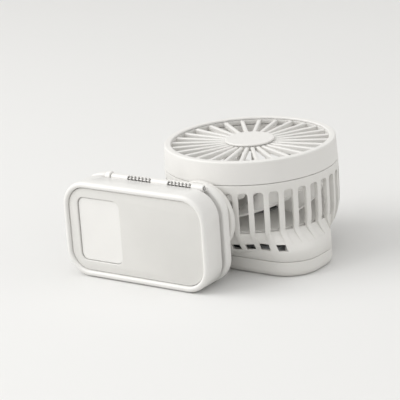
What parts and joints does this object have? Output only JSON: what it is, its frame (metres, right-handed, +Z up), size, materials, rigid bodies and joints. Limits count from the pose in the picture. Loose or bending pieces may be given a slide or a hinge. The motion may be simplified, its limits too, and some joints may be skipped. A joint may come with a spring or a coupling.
{
  "type": "clip-on pocket fan",
  "caption": "Pocket fan: a slotted round drum with a guarded impeller on a flat battery base, and a sprung belt clip that swivels on the drum's side.",
  "frame": {"origin": "on the impeller's axis, at the underside of the base", "axes": "+Z up along the impeller's axis and out of the grille, X along the clip, -Y towards the clip"},
  "size_m": [0.1054, 0.1054, 0.054],
  "materials": {
    "white_plastic": "satin",
    "white_gloss": "soft gloss",
    "panel_grey": "matte",
    "pale_insert": "soft gloss",
    "blade_plastic": "soft gloss",
    "grip_rubber": "matte",
    "foam": "matte",
    "grey_plastic": "matte",
    "steel": "plain",
    "magnet": "matte",
    "windings": "varnished copper",
    "bearing_bronze": "plain",
    "circuit_board": "satin",
    "cell_foil": "satin",
    "black_plastic": "satin"
  },
  "bodies": {
    "fan_body": {"main_housing": "white_plastic", "base_cover": "white_plastic", "case_screw_1": "steel", "case_screw_2": "steel", "case_screw_3": "steel", "case_screw_4": "steel", "front_bezel": "white_gloss", "duct_ring": "white_plastic", "front_grille": "white_plastic", "grille_hub_cap": "white_gloss", "air_guide": "white_plastic", "motor_bracket": "grey_plastic", "bracket_screw_1": "steel", "bracket_screw_2": "steel", "bracket_screw_3": "steel", "stator": "windings", "sleeve_bearing": "bearing_bronze", "battery_pad": "foam", "battery_cell": "cell_foil", "control_board": "circuit_board", "charging_socket": "steel", "motor_lead": "black_plastic", "switch_lead": "black_plastic", "battery_lead": "black_plastic", "button_board": "circuit_board", "button_switch": "black_plastic"},
    "rotor": {"rotor_shaft": "steel", "shaft_retainer": "steel", "rotor_magnet": "magnet", "impeller": "blade_plastic"},
    "button": {"power_button": "white_gloss"},
    "clip": {"swivel_disc": "white_plastic", "swivel_axle": "steel", "swivel_nut": "steel", "friction_washer": "steel", "disc_screw_1": "steel", "disc_screw_2": "steel", "disc_screw_3": "steel", "clip_rear_plate": "white_plastic", "rear_grip_pad": "grip_rubber", "hinge_pin": "steel", "clip_spring_left": "steel", "clip_spring_right": "steel"},
    "jaw": {"jaw_shell": "white_gloss", "jaw_back_cover": "white_plastic", "jaw_screw_1": "steel", "jaw_screw_2": "steel", "jaw_screw_3": "steel", "jaw_screw_4": "steel", "face_panel": "panel_grey", "window_plate": "pale_insert", "front_grip_pad": "grip_rubber"}
  },
  "joints": [
    {"name": "impeller_spin", "type": "hinge", "parent": "fan_body", "child": "rotor", "pos_m": [0, 0, 0.021], "axis": [0, 0, 1], "continuous": true},
    {"name": "power_button_press", "type": "slide", "parent": "fan_body", "child": "button", "axis": [0, -1, 0], "range_m": [0, 0.0008], "stiffness_N_per_m": 300, "springref_m": -0.001},
    {"name": "clip_swivel", "type": "hinge", "parent": "fan_body", "child": "clip", "pos_m": [0, -0.0437, 0.0284], "axis": [0, 1, 0], "continuous": true},
    {"name": "clip_jaw_open", "type": "hinge", "parent": "clip", "child": "jaw", "pos_m": [-0.023, -0.05035, 0.0452], "axis": [-1, 0, 0], "range_deg": [0, 30], "stiffness_Nm_per_rad": 0.1, "springref_deg": -17.19, "deforming": ["clip_spring_left", "clip_spring_right"]}
  ]
}
